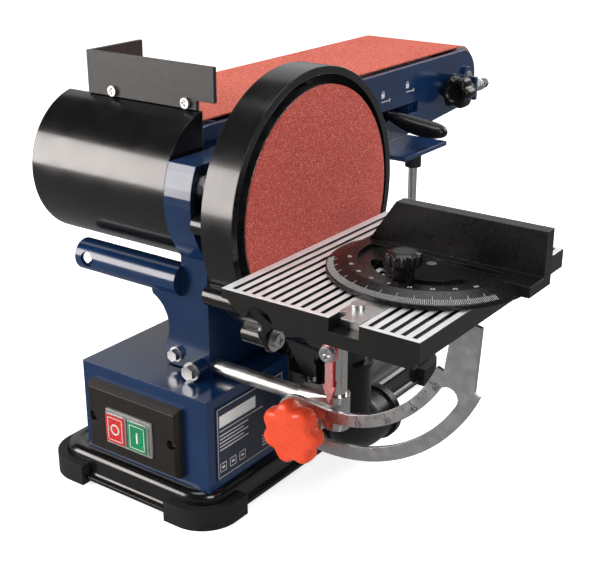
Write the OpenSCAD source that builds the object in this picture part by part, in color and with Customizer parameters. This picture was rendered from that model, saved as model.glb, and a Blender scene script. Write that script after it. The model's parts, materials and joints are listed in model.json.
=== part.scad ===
// Belt and disc bench sander.
// +X runs along the drive shaft towards the abrasive disc, +Y along the sanding belt, +Z up.
// The origin lies on the bench, in the middle of the base's bolt holes.

/* [Drive shaft] */
// height of the drive shaft above the bench
shaft_z = 210; // [210:1:225]
// place of the drive shaft along Y
shaft_y = -71; // [-75:1:-65]
// radius of the drive shaft
shaft_r = 7.5; // [7.5:0.5:8]

/* [Abrasive disc] */
// radius of the abrasive disc
disc_r = 75; // [70:1:75]
// place of the abrasive face along X
disc_x = 103; // [103:1:105]

/* [Sanding belt] */
// width of the sanding belt
belt_w = 99; // [97:1:99]
// radius of the drive drum
drum_r = 40; // [39:0.5:41]
// radius of the idler roller
idler_r = 25; // [24:0.5:26]
// distance from the drive drum to the idler roller
reach = 354; // [350:1:356]

/* [Base] */
// width of the base along X
base_w = 150; // [150:1:156]
// length of the base along Y
base_l = 310; // [310:1:320]
// height of the pressed base pan
base_h = 19; // [18:1:19]

/* [Work table] */
// width of the work table along X
table_w = 127; // [120:1:127]
// length of the work table along Y
table_l = 173; // [170:1:175]
// height of the table top, below the shaft
table_drop = 19; // [19:1:20]

/* [Output] */
// the node to draw, or all of them

/* [Hidden] */
$fn = 64;
foot_h = 4;
base_hole_r = 3.5;
pan_z = foot_h;
pan_top = pan_z + base_h;
box_top = 90;
box_left = -45;
box_right = 66;
box_front = -72;
box_back = 16;
wall = 2;
casting_x0 = 22;
casting_x1 = 44;
housing_r = 56;
tube_r = 11;
tube_x0 = -68;
tube_y = -40;
tube_z = -56;
guard_legs = [5, 192, 232];
leg_reach = 51;
flat_z = 26;
column_front = -42;
motor_y = 72;
motor_z = -125;
motor_r = 49;
bearing_r = 17.5;
bearing_w = 11;
pulley_r = 16;
flange_r = 19;
trunnion_r = 24;
belt_x0 = -91;
belt_t = 1;
plate_t = 4;
arm_right = 11;
arm_left = -97;
cover_r = 52;
stop_x0 = -82;
stop_z = 57;
stop_foot_z = 50.9;
stop_screw_z = 54.8;
stop_screw_x = [-58, 7];
idler_z = drum_r - idler_r;
lever_x = -20;
lever_y = 232;
lever_z = 3;
guard_r = 86;
guard_x0 = 78;
guard_x1 = 101;
table_x = 112;
table_top_z = -table_drop;
plate_thick = 6;
apron_h = 16;
pivot_x = 141;
pivot_z = -33;
post_y = -35;
post_r = 6;
boss_y = -46;
boss_z = -76;
rod_z = -114.6;
rod_r = 5.2;
clamp_bolt_z = -113.5;
slot_r = 94.5;
slot_half = 6.5;
lock_angle = -9.3;
lock_x = pivot_x + slot_r * sin(lock_angle);
lock_z = pivot_z - slot_r * cos(lock_angle);
quadrant_y = post_y - 11;
quadrant_t = 2.5;
mitre_slot_x = 193.5;
mitre_slot_w = 19;
mitre_slot_d = 8;
mitre_y = -18;
mitre_knob_y = -49.5;
mitre_slot = mitre_y - mitre_knob_y;
mitre_r = 61;
mitre_z = table_top_z + 1;
switch_x0 = -36;
switch_x1 = 45;
switch_z0 = 29;
switch_z1 = 79;
screw_z = 54;
opening_z = 39;
button_z = 52;
red_x = -7;
green_x = 13;
tracking_x = 31;
tracking_y = 311;
tracking_z = 10;
lug_y = 331;
rest_x = 45;
rest_y = 214;
rest_z = -22;
cable_x = -30;
cable_z = 29.5;
cable_r = 3;
port_x = 93.5;
port_y = 44;
dust_bore_r = 17.5;

navy = [0.13, 0.20, 0.36];
black = [0.05, 0.05, 0.055];
steel = [0.72, 0.73, 0.75];
red_grit = [0.78, 0.29, 0.27];

// ---- helpers -------------------------------------------------------------------------------

// moves children so that their y and z are measured from the shaft axis
module on_shaft() {
    translate([0, shaft_y, shaft_z]) children();
}

// a cylinder along X from x0 to x1
module along_x(r, x0, x1, y = 0, z = 0, sides = 64) {
    translate([x0, y, z]) rotate([0, 90, 0]) cylinder(r = r, h = x1 - x0, $fn = sides);
}

// a cylinder along Y from y0 to y1
module along_y(r, y0, y1, x = 0, z = 0, sides = 64) {
    translate([x, y1, z]) rotate([90, 0, 0]) cylinder(r = r, h = y1 - y0, $fn = sides);
}

// a cylinder along Z from z0 to z1
module along_z(r, z0, z1, x = 0, y = 0, sides = 64) {
    translate([x, y, z0]) cylinder(r = r, h = z1 - z0, $fn = sides);
}

// a flat shape drawn in (y, z) and thickened along X
module slab_x(x0, x1) {
    translate([x0, 0, 0]) rotate([90, 0, 90]) linear_extrude(height = x1 - x0) children();
}

// a flat shape drawn in (x, z) and thickened along Y
module slab_y(y0, y1) {
    translate([0, y1, 0]) rotate([90, 0, 0]) linear_extrude(height = y1 - y0) children();
}

// a rectangle with round corners
module round_rect(w, l, r) {
    hull() {
        for (i = [-1, 1]) {
            for (j = [-1, 1]) {
                translate([i * (w / 2 - r), j * (l / 2 - r)]) circle(r = r);
            }
        }
    }
}

// the outline round two wheels of radius ra at the origin and rb at (y, z)
module two_circles(ra, y, z, rb) {
    hull() {
        circle(r = ra);
        translate([y, z]) circle(r = rb);
    }
}

// a hexagon bolt along +X with its washer, head towards +X
module hex_bolt_x(x0, y, z, across) {
    along_x(across * 0.72, x0, x0 + 1.4, y, z);
    along_x(across * 0.577, x0 + 1.4, x0 + 5.4, y, z, 6);
}

// a pan head screw along Y, head towards -Y, with a cross recess
module pan_screw_y(x, y, z, r, length) {
    difference() {
        union() {
            along_y(r, y - r * 0.7, y, x, z);
            along_y(r * 0.45, y, y + length, x, z);
        }
        translate([x, y - r * 0.7, z]) cube([r * 1.2, 1.6, r * 0.28], center = true);
        translate([x, y - r * 0.7, z]) cube([r * 0.28, 1.6, r * 1.2], center = true);
    }
}

// places children at the four bench bolts
module at_base_holes() {
    for (i = [-1, 1]) {
        for (j = [-1, 1]) {
            translate([i * (base_w / 2 - 17), j * (base_l / 2 - 17), 0]) children();
        }
    }
}

// ---- base ----------------------------------------------------------------------------------

module base_pan() {
    color(black) difference() {
        union() {
            translate([0, 0, pan_z + 3]) linear_extrude(height = base_h - 6)
                round_rect(base_w - 8, base_l - 8, 20);
            translate([0, 0, pan_z + 3]) linear_extrude(height = base_h - 3)
                round_rect(base_w - 14, base_l - 14, 18);
            translate([0, 0, pan_z]) linear_extrude(height = 3) round_rect(base_w, base_l, 24);
        }
        translate([0, 0, pan_z - 1]) linear_extrude(height = base_h - wall + 1)
            round_rect(base_w - 18, base_l - 18, 16);
        at_base_holes() along_z(base_hole_r, 0, pan_top + 1);
    }
}

// soft caps that wrap the corners of the pan
module rubber_feet() {
    leg = 40;
    color(black) difference() {
        for (i = [-1, 1]) {
            for (j = [-1, 1]) {
                intersection() {
                    linear_extrude(height = pan_z + 11) round_rect(base_w + 6, base_l + 6, 27);
                    translate([i * (base_w / 2 + 3 - leg / 2), j * (base_l / 2 + 3 - leg / 2), 9])
                        cube([leg, leg, 18], center = true);
                }
            }
        }
        translate([0, 0, pan_z + 3]) linear_extrude(height = base_h) round_rect(base_w - 8, base_l - 8, 20);
        translate([0, 0, pan_z]) linear_extrude(height = 3) round_rect(base_w, base_l, 24);
        at_base_holes() along_z(base_hole_r, -1, pan_top);
    }
}

module body_box() {
    w = box_right - box_left;
    l = box_back - box_front;
    color(navy) translate([0, shaft_y, 0]) difference() {
        translate([box_left, box_front, pan_top]) cube([w, l, box_top - pan_top]);
        translate([box_left + wall, box_front + wall, pan_top - 1])
            cube([w - 2 * wall, l - 2 * wall, box_top - pan_top - wall + 1]);
        translate([-17, box_front - 1, opening_z]) cube([41, wall + 2, 26]);
        for (x = [switch_x0 + 5, switch_x1 - 5])
            along_y(1.7, box_front - 1, box_front + wall + 1, x, screw_z);
        along_y(5, box_back - wall - 1, box_back + 1, cable_x, cable_z);
    }
}

module rating_plate() {
    color(navy * 0.8) translate([box_right, shaft_y + box_front + 8, pan_top + 6])
        cube([0.8, box_back - box_front - 16, box_top - pan_top - 14]);
}

module switch_plate() {
    w = switch_x1 - switch_x0;
    color([0.17, 0.155, 0.15]) translate([0, shaft_y + box_front, 0]) difference() {
        hull() {
            translate([switch_x0, -4, switch_z0]) cube([w, 4, switch_z1 - switch_z0]);
            translate([switch_x0 + 2, -7, switch_z0 + 2]) cube([w - 4, 4, switch_z1 - switch_z0 - 5]);
        }
        translate([-17, -8, opening_z]) cube([41, 9, 26]);
        for (x = [switch_x0 + 5, switch_x1 - 5]) {
            along_y(1.7, -8, 1, x, screw_z);
            along_y(3.6, -8, -2.5, x, screw_z);
        }
    }
}

module switch_frame() {
    color([0.75, 0.76, 0.75]) translate([0, shaft_y + box_front, 0]) difference() {
        translate([-16.8, -8.5, opening_z + 0.2]) cube([40.6, 30, 25.6]);
        for (x = [red_x, green_x]) translate([x - 8.6, -9, button_z - 10.6]) cube([17.2, 15, 21.2]);
    }
}

module switch_screws() {
    color(steel) for (x = [switch_x0 + 5, switch_x1 - 5])
        pan_screw_y(x, shaft_y + box_front - 2.5, screw_z, 3, 8);
}

module button(x, mark_round) {
    difference() {
        translate([x - 8.2, shaft_y + box_front - 10.5, button_z - 10.2]) cube([16.4, 9, 20.4]);
        if (mark_round) {
            difference() {
                along_y(4, shaft_y + box_front - 11, shaft_y + box_front - 10, x, button_z);
                along_y(2.8, shaft_y + box_front - 12, shaft_y + box_front - 9, x, button_z);
            }
        } else {
            translate([x - 0.7, shaft_y + box_front - 11, button_z - 4]) cube([1.4, 1, 8]);
        }
    }
}

module stop_button() {
    color([0.75, 0.12, 0.12]) button(red_x, true);
}

module start_button() {
    color([0.05, 0.5, 0.28]) button(green_x, false);
}

module power_cable() {
    bend = 12;
    over_y = shaft_y + 232;
    low_z = cable_r + bend;
    color(black) {
        along_y(cable_r, shaft_y + box_back - 2, over_y, cable_x, cable_z);
        quarter_bend(over_y, cable_z - bend, 90, bend);
        along_z(cable_r, low_z, cable_z - bend, cable_x, over_y + bend);
        quarter_bend(over_y + 2 * bend, low_z, -90, bend);
        along_y(cable_r, over_y + 2 * bend, over_y + 90, cable_x, cable_r);
    }
}

// a quarter turn of cable in the (y, z) plane about (y, z); from sets where it begins
module quarter_bend(y, z, from, bend) {
    translate([cable_x, y, z]) rotate([0, 90, 0]) rotate([0, 0, from])
        rotate_extrude(angle = 90) translate([bend, 0]) circle(r = cable_r);
}

module cable_gland() {
    y0 = shaft_y + box_back;
    color(black) difference() {
        union() {
            along_y(4.9, y0 - 4, y0, cable_x, cable_z);
            along_y(6.4, y0, y0 + 3, cable_x, cable_z);
            along_y(4.6, y0 + 3, y0 + 13, cable_x, cable_z);
        }
        along_y(cable_r, y0 - 5, y0 + 14, cable_x, cable_z);
    }
}

// ---- casting, motor and drive --------------------------------------------------------------

// keeps the part of a (y, z) outline that lies below the given height
module below(z) {
    intersection() {
        children();
        translate([-200, z - 400]) square([400, 400]);
    }
}

// outline of the casting in (y, z)
module casting_outline() {
    floor_z = pan_top - shaft_z;
    step_z = box_top - shaft_z;
    below(flat_z) difference() {
        union() {
            two_circles(housing_r, motor_y, motor_z, motor_r + 2);
            translate([column_front, step_z]) square([80, 120]);
            translate([box_back + 4, floor_z]) square([motor_y + 40 - box_back, 60]);
        }
        translate([-100, step_z - 200]) square([100 + box_back + 4, 200]);
    }
}

module main_casting() {
    color(navy) on_shaft() difference() {
        union() {
            slab_x(casting_x0, casting_x1) casting_outline();
            along_x(trunnion_r, casting_x0 - 13, casting_x0);
            along_x(tube_r, tube_x0, casting_x0 + 1, tube_y, tube_z);
            gusset();
            along_y(6, column_front - 10, column_front + 1, casting_x1 - 7, clamp_bolt_z);
        }
        slab_x(casting_x0 + 4, casting_x1 + 1) below(flat_z - 4) two_circles(48, motor_y, motor_z, 40);
        slab_x(casting_x1 - 4, casting_x1 + 1) below(flat_z - 3) two_circles(52, motor_y, motor_z, 44);
        along_x(bearing_r, casting_x0 - 12, casting_x0 + 5);
        along_x(shaft_r + 1.5, casting_x0 - 14, casting_x0);
        along_x(12, casting_x0 - 1, casting_x0 + 5, motor_y, motor_z);
        along_x(rod_r, casting_x0 + 2, casting_x1 + 1, post_y, rod_z);
        along_x(tube_r - 3, tube_x0 - 1, casting_x0 - 3, tube_y, tube_z);
        along_y(5.5, tube_y - 20, tube_y + 20, tube_x0 + 11, tube_z);
    }
}

// web between the handle tube and the foot of the column
module gusset() {
    slab_y(column_front, column_front + 6) difference() {
        polygon([[-8, tube_z], [casting_x0 + 1, tube_z], [casting_x0 + 1, -119], [6, -119]]);
        translate([-14, -92]) circle(r = 23);
    }
}

module belt_case() {
    color(black) on_shaft() difference() {
        union() {
            slab_x(casting_x1 - 4, casting_x1) below(flat_z - 3.4) two_circles(51.6, motor_y, motor_z, 43.6);
            slab_x(casting_x1, casting_x1 + 12) below(flat_z - 1) two_circles(36, motor_y, motor_z, 34);
        }
        slab_x(casting_x1 - 5, casting_x1 + 10) below(flat_z - 4) two_circles(30, motor_y, motor_z, 30);
        along_x(shaft_r + 2, casting_x1, casting_x1 + 20);
    }
}

module case_bolts() {
    color(steel) on_shaft() {
        for (a = [165, 22]) hex_bolt_x(casting_x1, 44.5 * cos(a), 44.5 * sin(a), 10);
        for (a = [200, 270, 340])
            hex_bolt_x(casting_x1, motor_y + 39.2 * cos(a), motor_z + 39.2 * sin(a), 5.6);
    }
}

module column_bolts() {
    color(steel) on_shaft() {
        translate([casting_x0 - 7, column_front, clamp_bolt_z + 3]) rotate([0, 0, -90])
            hex_bolt_x(0, 0, 0, 7.5);
        translate([casting_x1 - 7, column_front - 10, clamp_bolt_z]) rotate([0, 0, -90])
            hex_bolt_x(0, 0, 0, 9);
    }
}

module motor_housing() {
    color(black) on_shaft() difference() {
        union() {
            along_x(motor_r, -44, casting_x0, motor_y, motor_z);
            along_x(motor_r - 4, -56, -44, motor_y, motor_z);
            for (a = [0 : 30 : 330]) {
                translate([0, motor_y, motor_z]) rotate([a, 0, 0])
                    translate([-40, -1.5, motor_r - 2]) cube([48, 3, 4]);
            }
        }
        along_x(motor_r - 4, -36, casting_x0 - 12, motor_y, motor_z);
        along_x(motor_r - 8, -54, -44, motor_y, motor_z);
        along_x(11, -45, casting_x0 + 1, motor_y, motor_z);
        for (a = [0 : 45 : 315]) {
            along_x(4, -60, -50, motor_y + 26 * cos(a), motor_z + 26 * sin(a));
        }
    }
}

module motor_stator() {
    color([0.45, 0.30, 0.18]) on_shaft() difference() {
        along_x(motor_r - 4, -30, 4, motor_y, motor_z);
        along_x(25, -31, 5, motor_y, motor_z);
    }
}

module motor_rotor() {
    color(steel) on_shaft() {
        along_x(24.5, -28, 2, motor_y, motor_z);
        along_x(5, -53.5, 52, motor_y, motor_z);
    }
}

module motor_bearings() {
    color(steel) on_shaft() for (x = [casting_x0 - 10, -43]) difference() {
        along_x(11, x, x + 7, motor_y, motor_z);
        along_x(5.02, x - 1, x + 8, motor_y, motor_z);
    }
}

// a flanged belt pulley along X with a plain bore
module pulley(bore, y, z) {
    difference() {
        union() {
            along_x(pulley_r, 34, 48, y, z);
            along_x(flange_r, 32, 34, y, z);
            along_x(flange_r, 48, 50, y, z);
        }
        along_x(bore, 31, 51, y, z);
    }
}

module motor_pulley() {
    color(steel) on_shaft() pulley(5, motor_y, motor_z);
}

module driven_pulley() {
    color(steel) on_shaft() pulley(shaft_r, 0, 0);
}

module motor_fan() {
    color(black) on_shaft() difference() {
        union() {
            along_x(9, -53, -46, motor_y, motor_z);
            along_x(34, -47, -45.7, motor_y, motor_z);
            for (a = [0 : 40 : 320]) {
                translate([-53, motor_y, motor_z]) rotate([a, 0, 0]) translate([0, -1, 7]) cube([7, 2, 26]);
            }
        }
        along_x(5, -60, -40, motor_y, motor_z);
    }
}

module toothed_belt() {
    color(black) on_shaft() difference() {
        slab_x(35, 47) two_circles(pulley_r + 2.3, motor_y, motor_z, pulley_r + 2.3);
        slab_x(34, 48) two_circles(pulley_r + 0.1, motor_y, motor_z, pulley_r + 0.1);
    }
}

module drive_shaft() {
    color(steel) on_shaft() along_x(shaft_r, -103, disc_x - 10);
}

// one 15 x 35 x 11 ball bearing along X
module ball_bearing(x0) {
    difference() {
        along_x(bearing_r, x0, x0 + bearing_w);
        along_x(shaft_r + 0.02, x0 - 1, x0 + bearing_w + 1);
        along_x(14.5, x0 - 1, x0 + 1);
        along_x(14.5, x0 + bearing_w - 1, x0 + bearing_w + 1);
    }
    for (x = [x0, x0 + bearing_w - 1]) difference() {
        along_x(10.5, x, x + 1);
        along_x(shaft_r + 0.02, x - 1, x + 2);
    }
}

module shaft_bearings() {
    color(steel) on_shaft() {
        ball_bearing(casting_x0 - 12);
        ball_bearing(guard_x0 - 17);
    }
}

module drive_drum() {
    color(steel) on_shaft() difference() {
        along_x(drum_r, belt_x0, belt_x0 + belt_w - 2);
        for (x = [belt_x0 - 1, belt_x0 + belt_w - 14]) difference() {
            along_x(drum_r - 6, x, x + 13);
            along_x(shaft_r + 8, x, x + 13);
        }
        along_x(shaft_r, belt_x0 - 1, belt_x0 + belt_w);
    }
}

// ---- disc and guard ------------------------------------------------------------------------

module disc_plate() {
    color(steel * 0.9) on_shaft() difference() {
        union() {
            along_x(disc_r, disc_x - 9, disc_x - 1);
            along_x(19, disc_x - 19, disc_x - 9);
        }
        along_x(shaft_r, disc_x - 20, disc_x - 10);
        along_x(2.5, disc_x - 11, disc_x);
        along_x(5, disc_x - 5, disc_x);
    }
}

module disc_screw() {
    color(steel) on_shaft() {
        along_x(4.8, disc_x - 5, disc_x - 1.5);
        along_x(2.4, disc_x - 10, disc_x - 5);
    }
}

module abrasive_disc() {
    color(red_grit) on_shaft() along_x(disc_r, disc_x - 1, disc_x);
}

module disc_guard() {
    color(black) on_shaft() difference() {
        union() {
            along_x(guard_r, guard_x0, guard_x1);
            along_x(trunnion_r, guard_x0 - 18, guard_x0);
            for (a = guard_legs) along_x(7, casting_x1, guard_x0, leg_reach * cos(a), leg_reach * sin(a));
            slab_x(guard_x0, guard_x1) hull() {
                translate([port_y, -104]) circle(r = 19);
                translate([10, -70]) circle(r = 30);
                translate([60, -50]) circle(r = 20);
            }
            along_z(17, -132, -100, port_x, port_y);
            along_x(6.5, guard_x0 - 1, guard_x1 - 1, -79.5, -40.5);
            along_x(6.5, guard_x0 + 1, guard_x1 - 3, boss_y, boss_z);
            slab_x(guard_x1 - 2.4, guard_x1) hull() {
                translate([boss_y, boss_z]) circle(r = 8.6);
                translate([boss_y - 8, boss_z + 9]) circle(r = 6);
            }
        }
        along_x(guard_r - 5, guard_x0 + 3, guard_x1 + 1);
        slab_x(guard_x0 + 3, guard_x1 - 3) hull() {
            translate([port_y, -104]) circle(r = 14);
            translate([10, -70]) circle(r = 26);
            translate([60, -50]) circle(r = 16);
        }
        along_z(14, -140, -104, port_x, port_y);
        along_x(bearing_r, guard_x0 - 17, guard_x0 - 6);
        along_x(shaft_r + 1.5, guard_x0 - 19, guard_x0 + 4);
    }
}

module guard_bolts() {
    color(steel) on_shaft() {
        for (a = guard_legs) hex_bolt_x(guard_x0 + 3, leg_reach * cos(a), leg_reach * sin(a), 8);
        difference() {
            union() {
                along_x(7.6, guard_x1, guard_x1 + 1.2, boss_y, boss_z);
                along_x(4.8, guard_x1 + 1.2, guard_x1 + 4.4, boss_y, boss_z);
            }
            translate([guard_x1 + 4.4, boss_y, boss_z]) cube([2, 6, 1.3], center = true);
            translate([guard_x1 + 4.4, boss_y, boss_z]) cube([2, 1.3, 6], center = true);
        }
    }
}

// the path of the dust elbow, r thick: down, a quarter turn, and out along +Y
module elbow(r, top_z, end_y) {
    bend = 26;
    turn_z = -158;
    along_z(r, turn_z, top_z);
    translate([0, bend, turn_z]) rotate([0, 90, 0]) rotate([0, 0, -90])
        rotate_extrude(angle = 90) translate([bend, 0]) circle(r = r);
    along_y(r, bend, end_y, 0, turn_z - bend);
}

module dust_port() {
    color(black) on_shaft() translate([port_x, port_y, 0]) difference() {
        union() {
            elbow(19.5, -123.2, 46);
            along_z(21, -127, -123.2);
            along_y(21.5, 40, 46, 0, -184);
        }
        elbow(17.1, -120, 27);
        along_y(dust_bore_r, 26, 47, 0, -184);
    }
}

// ---- belt arm ------------------------------------------------------------------------------

// outline of an arm side plate in (y, z)
module side_outline() {
    hull() {
        circle(r = 38.6);
        translate([reach - 8, idler_z - 1]) circle(r = 25);
    }
}

module arm_frame() {
    color(navy) on_shaft() difference() {
        union() {
            slab_x(arm_right, arm_right + plate_t) side_outline();
            slab_x(arm_left, arm_left + plate_t) side_outline();
            for (y = [100, 180, 270]) along_x(7, arm_left + 1, arm_right + 1, y, 0);
            along_x(22, arm_left - 7, arm_left + 1);
            rest_bracket();
            for (z = [-4, 14]) translate([lever_x - 10, lever_y - 10, z])
                cube([arm_right - lever_x + 11, 20, 3]);
            translate([arm_right + plate_t - 1, lug_y, tracking_z - 10]) cube([23, 4, 20]);
        }
        along_x(trunnion_r + 0.05, arm_right - 1, arm_right + plate_t + 3);
        along_x(bearing_r, arm_left - 6.5, arm_left + 5);
        along_x(shaft_r + 1.5, arm_left - 8, arm_left);
        for (x = [arm_right - 1, arm_left - 1]) slab_x(x, x + plate_t + 4)
            hull() {
                translate([reach, idler_z]) circle(r = 5.1);
                translate([reach - 9, idler_z]) circle(r = 5.1);
            }
        translate([arm_right - 1, lever_y - 18, lever_z - 4.6]) cube([plate_t + 4, 56, 9.2]);
        along_y(3.05, lug_y - 1, lug_y + 5, tracking_x, tracking_z);
        along_z(2.05, -5, 18, lever_x, lever_y);
    }
}

// bracket that sits on the rear rest post
module rest_bracket() {
    translate([arm_right, rest_y - 26, rest_z]) cube([42, 66, 3.5]);
    translate([arm_right, rest_y - 26, rest_z]) cube([plate_t, 66, 12]);
}

module platen() {
    color(steel) on_shaft() {
        translate([belt_x0 + 4, 50, drum_r - 3.2]) cube([belt_w - 8, 260, 3]);
        for (x = [belt_x0 + 10, belt_x0 + belt_w - 14]) {
            for (y = [100, 180, 270]) translate([x, y - 5, 7]) cube([4, 10, drum_r - 10]);
        }
    }
}

module sanding_belt() {
    outer = idler_z;
    color([0.86, 0.40, 0.36]) on_shaft() difference() {
        slab_x(belt_x0, belt_x0 + belt_w)
            two_circles(drum_r + belt_t + 0.1, reach, outer, idler_r + belt_t + 0.1);
        slab_x(belt_x0 - 1, belt_x0 + belt_w + 1) two_circles(drum_r + 0.1, reach, outer, idler_r + 0.1);
    }
}

module drum_cover() {
    inner = cover_r - 2.5;
    color(black) on_shaft() difference() {
        along_x(cover_r, -103, 18.5);
        along_x(inner, -102, 17);
        along_x(25.5, 9, 20);
        along_x(23, -104, -100);
        translate([-110, -12, -5]) cube([140, 80, 70]);
        translate([-110, 14, -70]) cube([140, 80, 70]);
        translate([-110, -6, -70]) cube([140, 80, 70]);
    }
    color(black) on_shaft() difference() {
        union() {
            translate([stop_x0 + 10, -13, 48.4]) cube([84, 4.6, 1.6]);
            translate([stop_x0 + 10, -10.9, 48.4]) cube([84, 2.5, 10.6]);
        }
        for (x = stop_screw_x) along_y(1.7, -12, -8, x, stop_screw_z);
    }
}

module work_stop() {
    color(black) on_shaft() {
        difference() {
            slab_y(-14, -11) polygon([[stop_x0, stop_z + 23], [stop_x0 + 112, stop_z + 23],
                [stop_x0 + 112, stop_z],
                [15, stop_z], [15, stop_foot_z], [stop_x0, stop_foot_z]]);
            for (x = stop_screw_x) along_y(1.7, -15, -10, x, stop_screw_z);
        }
        translate([stop_x0, -14, stop_z]) cube([3, 52, 23]);
    }
}

module stop_screws() {
    color(steel) on_shaft() for (x = stop_screw_x) pan_screw_y(x, -14, stop_screw_z, 3.6, 5);
}

module arm_bearing() {
    color(steel) on_shaft() ball_bearing(arm_left - 6.5);
}

module idler_axle() {
    color(steel) on_shaft() along_x(5, arm_left - 4, arm_right + plate_t + 4, reach, idler_z);
}

module idler_roller() {
    color(steel) on_shaft() difference() {
        along_x(idler_r, belt_x0, belt_x0 + belt_w, reach, idler_z);
        along_x(5.05, belt_x0 - 1, belt_x0 + belt_w + 1, reach, idler_z);
        for (x = [belt_x0 - 1, belt_x0 + belt_w - 9]) difference() {
            along_x(idler_r - 4, x, x + 10, reach, idler_z);
            along_x(11, x, x + 10, reach, idler_z);
        }
    }
}

module end_cheeks() {
    right_x = arm_right + plate_t + 0.2;
    color(black) on_shaft() {
        for (x = [right_x, arm_left - 3.2]) difference() {
            along_x(9, x, x + 3, reach, idler_z);
            along_x(5, x - 1, x + 4, reach, idler_z);
        }
    }
}

module tension_spring() {
    y0 = lug_y + 4.1;
    color(steel) on_shaft() difference() {
        union() {
            for (y = [2 : 3.6 : 17]) translate([tracking_x, y0 + y, tracking_z]) rotate([90, 0, 0])
                rotate_extrude() translate([4.2, 0]) circle(r = 1, $fn = 24);
            along_y(3.7, y0, y0 + 18, tracking_x, tracking_z);
            along_y(4.6, y0 + 18, y0 + 26, tracking_x, tracking_z, 6);
        }
        along_y(3.05, y0 - 1, y0 + 19, tracking_x, tracking_z);
    }
}

module tension_lever() {
    color(black) on_shaft() translate([lever_x, lever_y, lever_z]) {
        along_z(8, -3.9, 4);
        along_z(2, -7, 14);
        rotate([0, 0, -15]) translate([0, -4, -4]) cube([50, 8, 8]);
        translate([47, -12.5, 0]) rotate([0, 0, 13]) hull() {
            translate([3, 0, 0]) sphere(r = 6, $fn = 32);
            translate([20, 0, -4]) sphere(r = 8.5, $fn = 32);
            translate([42, 0, -5]) sphere(r = 5, $fn = 32);
        }
    }
}

// a lobed knob outline
module lobed(r, lobes, depth) {
    difference() {
        circle(r = r);
        for (i = [0 : lobes - 1]) {
            rotate(360 / lobes * (i + 0.5)) translate([r + depth * 0.6, 0]) circle(r = depth * 1.5);
        }
    }
}

module tracking_knob() {
    color(black) on_shaft() translate([tracking_x, 0, tracking_z]) {
        slab_y(tracking_y - 9, tracking_y + 10) lobed(14.5, 6, 2.8);
        along_y(8, tracking_y + 10, lug_y - 0.1);
        along_y(3, lug_y - 1, lug_y + 22);
    }
}

module rest_post() {
    color(steel) along_z(3.5, pan_top, shaft_z + rest_z - 9, rest_x, shaft_y + rest_y);
}

module rest_bush() {
    color(black) difference() {
        along_z(6.5, shaft_z + rest_z - 10, shaft_z + rest_z - 0.2, rest_x, shaft_y + rest_y);
        along_z(3.5, shaft_z + rest_z - 11, shaft_z + rest_z - 9, rest_x, shaft_y + rest_y);
    }
}

// ---- work table ----------------------------------------------------------------------------

module support_rod() {
    color(steel) on_shaft() along_x(rod_r, casting_x0 + 2, pivot_x - post_r - 2, post_y, rod_z);
}

module rod_clamp() {
    color(steel) on_shaft() difference() {
        union() {
            hull() {
                along_x(8, pivot_x - 26, pivot_x - 2, post_y, rod_z);
                along_z(8, rod_z - 14, rod_z + 9, pivot_x, post_y);
            }
            along_y(9, post_y - 8.4, post_y + 8, lock_x, lock_z);
        }
        along_x(rod_r, pivot_x - 30, pivot_x - post_r - 1, post_y, rod_z);
        along_z(post_r, rod_z - 20, rod_z + 20, pivot_x, post_y);
        along_y(4, post_y - 12, post_y + 12, lock_x, lock_z);
    }
}

module table_post() {
    color([0.82, 0.83, 0.85]) on_shaft() difference() {
        union() {
            along_z(post_r, rod_z - 14, pivot_z, pivot_x, post_y);
            along_y(7, post_y - 6, post_y + 6, pivot_x, pivot_z);
        }
        along_y(3.55, post_y - 8, post_y + 8, pivot_x, pivot_z);
        along_y(2, post_y - 8, post_y - 2, pivot_x, pivot_z - 42);
    }
}

module tilt_pointer() {
    color([0.8, 0.12, 0.1]) on_shaft() {
        along_y(1.9, post_y - 9, post_y - 3, pivot_x, pivot_z - 42);
        slab_y(post_y - 9.8, post_y - 8.4) translate([pivot_x, pivot_z]) {
            translate([0, -42]) circle(r = 6);
            polygon([[-2.8, -44], [2.8, -44], [2.8, -64], [4.6, -64], [0, -77], [-4.6, -64], [-2.8, -64]]);
        }
        pan_screw_y(pivot_x, post_y - 9.8, pivot_z - 42, 5, 0.5);
    }
}

module work_table() {
    y0 = -109;
    z0 = table_top_z - apron_h;
    color([0.85, 0.86, 0.87]) on_shaft() difference() {
        union() {
            translate([table_x, y0, table_top_z - plate_thick]) cube([table_w, table_l, plate_thick]);
            slab_y(y0, y0 + 4) polygon([[table_x, table_top_z], [table_x + table_w, table_top_z],
                [table_x + table_w - 3, z0], [table_x + 16, z0], [table_x, table_top_z - 3]]);
            for (x = [table_x + 12, table_x + table_w - 4]) translate([x, y0, table_top_z - 12])
                cube([4, table_l, 12]);
            translate([table_x, y0 + table_l - 4, z0 + 4]) cube([table_w, 4, apron_h - 4]);
            for (y = [post_y - 12.6, post_y + 6.6]) translate([pivot_x - 7, y, pivot_z - 6])
                cube([14, 6, 14.5]);
            translate([mitre_slot_x - 13, y0, table_top_z - 11]) cube([26, table_l, 6]);
            translate([table_x + table_w - 18, quadrant_y + quadrant_t, table_top_z - 14]) cube([14, 4, 10]);
        }
        translate([mitre_slot_x - mitre_slot_w / 2, y0 - 1, table_top_z - mitre_slot_d])
            cube([mitre_slot_w, table_l + 2, 20]);
        for (x = [table_x + 5 : 6.6 : mitre_slot_x - 14]) groove(x, y0);
        for (x = [mitre_slot_x + 12.5 : 6.6 : table_x + table_w - 5]) groove(x, y0);
        along_y(3.55, post_y - 14, post_y + 14, pivot_x, pivot_z);
        along_y(11, y0 - 1, y0 + 5, pivot_x - 4, pivot_z - 3);
    }
}

// one shallow groove in the table top, along Y
module groove(x, y0) {
    translate([x, y0 + 3, table_top_z - 1.6]) cube([3, table_l - 6, 3]);
}

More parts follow.
